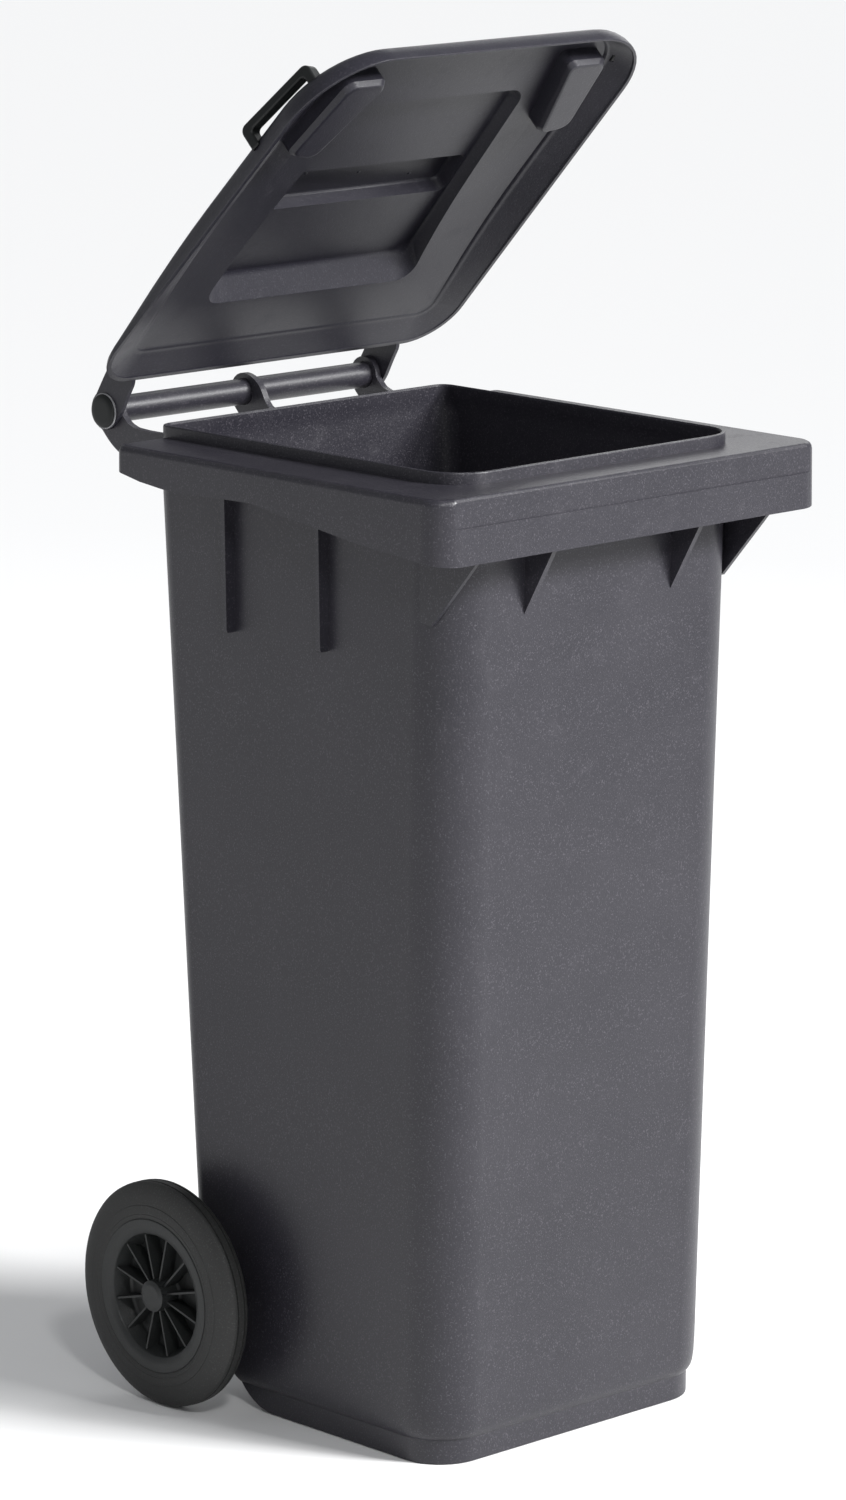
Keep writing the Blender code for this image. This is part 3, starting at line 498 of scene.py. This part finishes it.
def axle_bracket(low, high):
    """A plate across the hollow, round the axle."""
    low_z, rear = AXLE_Z - 19.0, AXLE_Y + 19.0
    corners = [(BRACKET_FRONT, 70.0, 0.0), (AXLE_Y - 6.0, low_z, 8.0), (rear, low_z, 16.0),
               (rear, AXLE_Z + 6.0, 6.0), (AXLE_Y + 14.0, BRACKET_TOP, 0.0),
               (BRACKET_FRONT, BRACKET_TOP, 0.0)]
    return plate(corners, low, high)


def make_tub():
    """One moulding: tub, collar, ribs, webs, ears and axle brackets."""
    shell = carve(tub_outside(), cuts=[axle_bay(0.0)])
    joins = [collar(), ear(MIDDLE_EAR_X, MIDDLE_EAR)]
    for side in SIGNS:
        joins += [side_rib(y, side) for y in SIDE_RIB_Y]
        joins.append(front_web(side * WEB_X, WEB_BOTTOM, -125.0, 5.0))
        joins.append(front_web(side * CORNER_WEB_X, WEB_BOTTOM, -104.0, 4.0))
        joins.append(ear(side * SIDE_EAR_X, SIDE_EAR))
        joins += [axle_bracket(*sorted((side * a, side * b))) for a, b in BRACKETS]
        joins.append(rod(BOSS_RADIUS, *sorted((side * BOSS_START, side * BOSS_END)), AXLE_Y, AXLE_Z))
    cavity = carve(tub_inside(), cuts=[axle_bay(WALL)])
    ways = [rod(BAR_WAY, -170.0, 170.0, HINGE[1], HINGE[2]),
            rod(AXLE_WAY, -190.0, 190.0, AXLE_Y, AXLE_Z)]
    tub = carve(shell, joins, [cavity] + ways)
    piece("tub_moulding", tub, TUB_FINISH, "tub", ["body"], 0.7)


# ---------------------------------------------------------------- hinge line

BAR_HALF, BAR_RADIUS = 152.4, 11.5
BAR_EDGE = 0.4                 # its rounded ends
PIN_HEAD = ((162.0, 0.0), (162.0, 8.0), (161.8, 11.2), (161.2, 13.2), (160.3, 14.4), (159.6, 14.7),
            (159.1, 14.7), (159.1, 8.4), (121.4, 8.4), (118.4, 6.4), (118.4, 0.0))


def make_hinge_line():
    """The tube through the brackets, and the headed pin in each of its ends."""
    half = BAR_HALF
    line = (0.0, HINGE[1], HINGE[2])
    bar = [(-half, 9.0), (-half, BAR_RADIUS - BAR_EDGE), (-half + BAR_EDGE, BAR_RADIUS),
           (half - BAR_EDGE, BAR_RADIUS), (half, BAR_RADIUS - BAR_EDGE), (half, 9.0)]
    bar = spun(bar, line, steps=72)
    piece("handle_tube", bar, TUB_FINISH, "tub", ["handle_bar"], 0.0)
    for word, side in SIDES:
        pin = spun(PIN_HEAD, line, side, 72, closed=False)
        piece("pin_cap_" + word, pin, BLACK_FINISH, "tub", ["hinge_pin_" + word], 0.0)


# ---------------------------------------------------------------- lid (X, Y = -v, Z = w)

LID_REAR, LID_FRONT = 46.5, 463.5
LID_HALF, LID_TAPER = 206.0, 0.03
LID_FRONT_RADIUS, LID_REAR_RADIUS = 74.0, 46.0
RIM = -4.0
ARCH_MIDDLE, ARCH_FALL, ARCH_LEAST = 265.0, 0.213, 0.46
INSIDE_FRONT_SHARE = 0.45      # the inner wall is steeper at the front than at the sides


def fall(v):
    """Share of the lid's height left at v, since the shell dips towards the hinge."""
    behind = max(ARCH_MIDDLE - v, 0.0) / 100.0
    return max(1.0 - ARCH_FALL * behind * behind, ARCH_LEAST)


def lid_level(w, inset, rear_inset, front_share=1.0):
    """A loop round the lid, drawn in from its edge by the insets."""
    rear = LID_REAR + rear_inset
    front = LID_FRONT - inset * front_share
    rear_half, front_half = [LID_HALF - LID_TAPER * (v - LID_REAR) - inset for v in (rear, front)]
    corners = ((-front_half, -front), (front_half, -front), (rear_half, -rear), (-rear_half, -rear))
    front_radius = max(LID_FRONT_RADIUS - inset, 14.0)
    rear_radius = max(LID_REAR_RADIUS - inset, 12.0)
    radii = (front_radius, front_radius, rear_radius, rear_radius)
    return corners, radii, lambda co: RIM + (w - RIM) * fall(-co.y)


def lid_shell(levels, front_share=1.0):
    rings = [lid_level(*level, front_share) for level in levels]
    return loft(rings, segments=12, cuts=8, strips=True)


# height, inset and rear inset
LID_OUTSIDE = ((RIM, 0.6, 0.6), (RIM + 0.6, 0.0, 0.0), (0.0, 0.1, 1.2), (4.0, 0.8, 3.5),
               (9.0, 3.0, 10.0), (11.5, 4.8, 15.0), (13.6, 7.4, 21.0), (15.4, 10.6, 29.0),
               (16.8, 14.5, 38.0), (17.9, 20.0, 52.0), (18.5, 30.0, 72.0))
LID_INSIDE = ((RIM - 2.0, 3.8, 3.8), (-2.0, 5.0, 6.0), (3.8, 15.0, 17.0),
              (9.6, 26.0, 28.0), (10.6, 28.4, 30.6), (10.7, 30.0, 32.2), (11.6, 31.6, 33.8),
              (12.8, 32.8, 35.0), (13.1, 36.0, 38.0), (14.5, 62.0, 78.0))


def raised(outline, levels, radius):
    """A sloping-sided block over the lid: levels are (height, inset, rear inset)."""
    rear_v, rear_half, front_v, front_half = outline
    rings = []
    for w, inset, rear_inset in levels:
        rear, front = -(rear_v + rear_inset), -(front_v - inset)
        a, b = front_half - inset, rear_half - inset
        corners = ((-a, front), (a, front), (b, rear), (-b, rear))
        rings.append((corners, (radius,) * 4, w))
    return loft(rings, segments=8)


# outlines of rear, its half width, front, its half width; sides of height, inset, rear inset
PANEL, PANEL_RADIUS = (127.0, 127.0, 388.0, 106.0), 16.0
PANEL_SIDES = ((8.0, 0.0, 0.0), (26.5, 6.0, 16.0), (29.0, 7.6, 19.0), (30.0, 10.0, 24.0))
PANEL_INNER, PANEL_INNER_RADIUS = (131.0, 123.0, 384.0, 102.0), 18.0
PANEL_INNER_SIDES = ((4.0, 0.0, -4.0), (22.5, 6.0, 14.0), (25.0, 7.6, 17.0), (26.0, 10.0, 21.0))
POCKET, POCKET_RADIUS = (226.0, 110.0, 286.0, 106.0), 10.0
POCKET_SIDES = ((20.0, 0.0, 0.0), (40.5, 3.0, 3.0), (42.2, 4.2, 4.2), (43.0, 6.5, 6.5))
POCKET_INNER, POCKET_INNER_RADIUS = (230.0, 108.0, 282.0, 103.0), 7.0
POCKET_INNER_SIDES = ((12.0, 0.0, 0.0), (36.5, 3.0, 3.0), (38.2, 4.2, 4.2), (39.0, 6.5, 6.5))
# wells: sides of height and inset, then the corners' (x, v)
WELL_OUTSIDE = ((-3.4, 6.0), (-2.4, 3.6), (2.0, 1.0), (16.4, -1.0))
WELL_HOLLOW = ((0.0, 10.0), (1.0, 7.2), (4.0, 5.0), (25.0, 2.0))
WELL = ((151.0, 432.0), (164.0, 340.0), (128.0, 334.0), (103.0, 432.0))


def well(side, levels):
    """A finger well beside a grip: levels are (height, inset)."""
    middle_x = sum(x for x, v in WELL) / 4
    middle_v = sum(v for x, v in WELL) / 4
    rings = []
    for w, inset in levels:
        places = []
        for x, v in WELL:
            places.append((side * (x - math.copysign(inset, x - middle_x)),
                           -(v - math.copysign(inset, v - middle_v))))
        front_out, rear_out, rear_in, front_in = places
        if side > 0:
            corners = (front_in, front_out, rear_out, rear_in)
        else:
            corners = (front_out, front_in, rear_in, rear_out)
        rings.append((corners, (9.0,) * 4, w))
    return loft(rings, segments=6)


ARM_INNER, ARM_OUTER = 153.4, 157.4


def lid_arm(side):
    """A hub round the pin, and a plate up over the lid's rear edge."""
    corners = [(-16.0, -14.0, 12.0), (-17.5, 17.5, 17.0), (2.0, 17.5, 0.0), (24.0, 22.5, 6.0),
               (58.0, 28.0, 5.0), (72.0, 27.0, 5.0), (100.0, 17.0, 0.0), (100.0, 13.0, 0.0),
               (66.0, 9.5, 0.0), (52.0, 1.0, 0.0), (46.0, -6.0, 4.0), (30.0, -10.0, 4.0),
               (10.0, -16.0, 8.0)]
    low, high = sorted((side * ARM_INNER, side * ARM_OUTER))
    return plate([(-v, w, r) for v, w, r in corners], low, high)


GRIP_MIDDLE = (182.0, 384.0)
GRIP_TURN = 13.7               # degrees, to follow the lid's narrowing side
HUB_WAY = 11.0                 # radius of the hole for the hinge bush


def grip(side, grow):
    """A bow-shaped grip over the lid's shoulder; grow makes it larger all round."""
    rear, front, foot, top = 341.0 - grow, 427.0 + grow, 7.5 - grow, 30.0 + grow
    inner_front, inner_rear = front - 9.0 - 2 * grow, rear + 9.0 + 2 * grow
    corners = [(rear, foot, 0.0), (rear, top, 7.0), (front, top, 7.0), (front, foot, 0.0),
               (inner_front, foot, 0.0), (inner_front, 22.0 - grow, 4.0),
               (inner_rear, 22.0 - grow, 4.0), (inner_rear, foot, 0.0)]
    middle_x, middle_v = GRIP_MIDDLE
    reach = 6.0 + grow
    bm = plate([(-v, w, r) for v, w, r in corners], side * middle_x - reach, side * middle_x + reach)
    turn = Matrix.Rotation(math.radians(-side * GRIP_TURN), 3, 'Z')
    bmesh.ops.rotate(bm, cent=(side * middle_x, -middle_v, 0), matrix=turn, verts=bm.verts)
    return bm


PIP_HEIGHT, PIP_RADIUS = 39.4, 2.0
PIPS = ((-64.0, 260.0), (1.0, 254.0), (67.0, 244.0), (83.0, 264.0))


def pip(x, v):
    """A small moulding mark in the pocket's ceiling."""
    bm = bmesh.new()
    bmesh.ops.create_uvsphere(bm, u_segments=16, v_segments=8, radius=PIP_RADIUS)
    bmesh.ops.scale(bm, vec=(1.0, 1.0, 0.6), verts=bm.verts)
    bmesh.ops.translate(bm, vec=(x, -v, PIP_HEIGHT), verts=bm.verts)
    return bm


def make_lid():
    """The dished lid with its panel, pocket, finger wells and arms, and the two grips."""
    blocks = [raised(PANEL, PANEL_SIDES, PANEL_RADIUS), raised(POCKET, POCKET_SIDES, POCKET_RADIUS)]
    hollows = [lid_shell(LID_INSIDE, INSIDE_FRONT_SHARE),
               raised(PANEL_INNER, PANEL_INNER_SIDES, PANEL_INNER_RADIUS),
               raised(POCKET_INNER, POCKET_INNER_SIDES, POCKET_INNER_RADIUS)]
    lid = carve(lid_shell(LID_OUTSIDE), blocks, hollows)
    wells = [well(side, WELL_OUTSIDE) for side in SIGNS]
    lid = carve(lid, wells, [well(side, WELL_HOLLOW) for side in SIGNS])
    arms = [lid_arm(side) for side in SIGNS]
    pips = [pip(x, v) for x, v in PIPS]
    sockets = [grip(side, GAP) for side in SIGNS]
    lid = carve(lid, arms + pips, sockets + [rod(HUB_WAY, -170.0, 170.0)])
    piece("lid_moulding", lid, LID_FINISH, "lid", ["lid"], 0.8, 30.0, LID_PLACE)
    for word, side in SIDES:
        piece("bow_grip_" + word, grip(side, 0.0), BLACK_FINISH, "lid",
              ["lid_grip_" + word], 1.6, 40.0, LID_PLACE)


# ---------------------------------------------------------------- wheels

# (outboard, radius)
RIM_PROFILE = (
    (17.5, 0.0), (17.5, 9.0), (17.1, 10.8), (15.6, 13.8), (-2.0, 15.0), (-3.2, 16.0), (-4.0, 18.0),
    (-3.6, 46.0), (-2.8, 48.6), (-1.5, 50.0), (11.5, 54.4), (13.0, 55.6), (14.6, 59.5), (15.2, 63.0),
    (15.2, 67.0), (14.6, 68.0), (9.3, 68.0), (8.7, 64.0), (-8.7, 64.0), (-9.3, 68.0), (-14.6, 68.0),
    (-14.4, 58.0), (-8.4, 50.0), (-8.2, 18.0), (-10.5, 16.0), (-26.0, 16.0), (-26.0, 12.3), (-0.3, 12.3),
    (-0.3, 10.5), (2.4, 10.5), (2.4, 12.6), (5.6, 12.6), (5.6, 10.5), (9.2, 10.5), (9.2, 0.0))
TYRE_HALF = ((8.9, 68.3), (14.3, 68.3), (15.0, 70.0), (15.2, 72.0), (14.9, 72.6), (15.3, 73.4),
             (15.2, 77.0), (14.7, 80.0), (14.1, 80.4), (14.2, 81.4), (12.9, 88.0), (11.6, 92.0),
             (9.8, 96.2), (7.6, 98.8), (6.6, 99.5), (4.6, 99.8), (4.2, 98.2), (3.2, 98.2), (2.8, 99.9))
SPOKES = 12
SPOKE = ((-6.0, 12.5), (10.0, 12.5), (10.6, 53.6), (9.0, 55.0), (-6.0, 52.0))     # (outboard, radius)
SPOKE_HALF = 0.9


def spokes(side):
    """Thin ribs from the boss to the dish wall."""
    ribs = []
    for number in range(SPOKES):
        rib = plate([(side * a, r, 0.0) for a, r in SPOKE], -SPOKE_HALF, SPOKE_HALF, 'Y')
        turn = Matrix.Rotation(FULL_TURN * (number + 0.5) / SPOKES, 3, 'X')
        bmesh.ops.rotate(rib, cent=(0, 0, 0), matrix=turn, verts=rib.verts)
        ribs.append(rib)
    return gather(ribs)


def make_wheels():
    """A grooved tyre and a ribbed rim on each side."""
    tyre = list(TYRE_HALF) + [(-a, r) for a, r in reversed(TYRE_HALF)] + [(-8.3, 64.3), (8.3, 64.3)]
    for word, side in SIDES:
        place = WHEELS[word]
        body = "wheel_" + word
        rubber = spun(tyre, place, side)
        piece("tyre_ring_" + word, rubber, TYRE_FINISH, body, ["tyre_" + word], 0.0)
        rim = spun(RIM_PROFILE, (0.0, 0.0, 0.0), side, closed=False)
        rim = carve(rim, [spokes(side)])
        bmesh.ops.translate(rim, vec=place, verts=rim.verts)
        piece("ribbed_rim_" + word, rim, WHEEL_FINISH, body, ["wheel_rim_" + word], 0.35)


# ---------------------------------------------------------------- pieces carried over

def paint(node, finish):
    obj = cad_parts[node]
    if not obj.material_slots:
        obj.data.materials.append(finish)
    for place in obj.material_slots:
        place.material = finish


def paint_small_pieces():
    """Finishes for the pieces that are kept as the frame has them."""
    paint("axle", STEEL_FINISH)
    for word, side in SIDES:
        paint("wheel_clip_" + word, STEEL_FINISH)
        for name in ("axle_spacer_", "wheel_bush_", "hinge_bush_"):
            paint(name + word, BUSH_FINISH)


# ---------------------------------------------------------------- studio

def make_floor():
    """A plain pale floor, wide enough to meet the horizon."""
    bm = bmesh.new()
    bmesh.ops.create_grid(bm, x_segments=1, y_segments=1, size=60.0)
    floor = as_object("studio_floor", bm)
    mat = bpy.data.materials.new("pale_floor")
    mat.use_nodes = True
    shader = mat.node_tree.nodes["Principled BSDF"]
    shader.inputs["Base Color"].default_value = (0.86, 0.86, 0.86, 1.0)
    shader.inputs["Roughness"].default_value = 0.9
    floor.data.materials.append(mat)
    floor.location.z = -0.0005


def make_light(name, kind, energy, place, target, size):
    data = bpy.data.lights.new(name, kind)
    data.energy = energy
    if kind == 'SUN':
        data.angle = math.radians(size)
    else:
        data.size = size
    lamp = bpy.data.objects.new(name, data)
    bpy.context.scene.collection.objects.link(lamp)
    lamp.location = place
    aim = Vector(target) - Vector(place)
    lamp.rotation_euler = aim.to_track_quat('-Z', 'Y').to_euler()


def make_studio():
    make_floor()
    make_light("key", 'SUN', 5.0, (2.2, -3.8, 2.4), (0.0, 0.0, 0.0), 18.0)
    make_light("mouth_light", 'AREA', 60.0, (0.5, -2.1, 2.3), (0.05, 0.1, 0.75), 0.5)
    make_light("edge_light", 'AREA', 16.0, (-1.3, -1.7, 1.9), (0.0, -0.1, 0.85), 0.25)
    make_light("rim_light", 'AREA', 14.0, (2.6, 1.6, 2.2), (0.0, 0.1, 0.8), 1.6)
    scene = bpy.context.scene
    scene.world = bpy.data.worlds.new("studio_air")
    scene.world.use_nodes = True
    air = scene.world.node_tree.nodes["Background"]
    air.inputs["Color"].default_value = (0.95, 0.97, 1.0, 1.0)
    air.inputs["Strength"].default_value = 0.34
    scene.view_settings.view_transform = 'Standard'
    lens = bpy.data.cameras.new("camera")
    lens.lens = 150.0
    lens.sensor_width = 36.0
    lens.clip_end = 200.0
    camera = bpy.data.objects.new("camera", lens)
    scene.collection.objects.link(camera)
    camera.location = (-3.62326, -3.74693, 1.69611)
    camera.rotation_euler = (math.radians(77.94), 0.0, math.radians(-43.37))
    scene.camera = camera


make_tub()
make_hinge_line()
make_lid()
make_wheels()
paint_small_pieces()
make_studio()
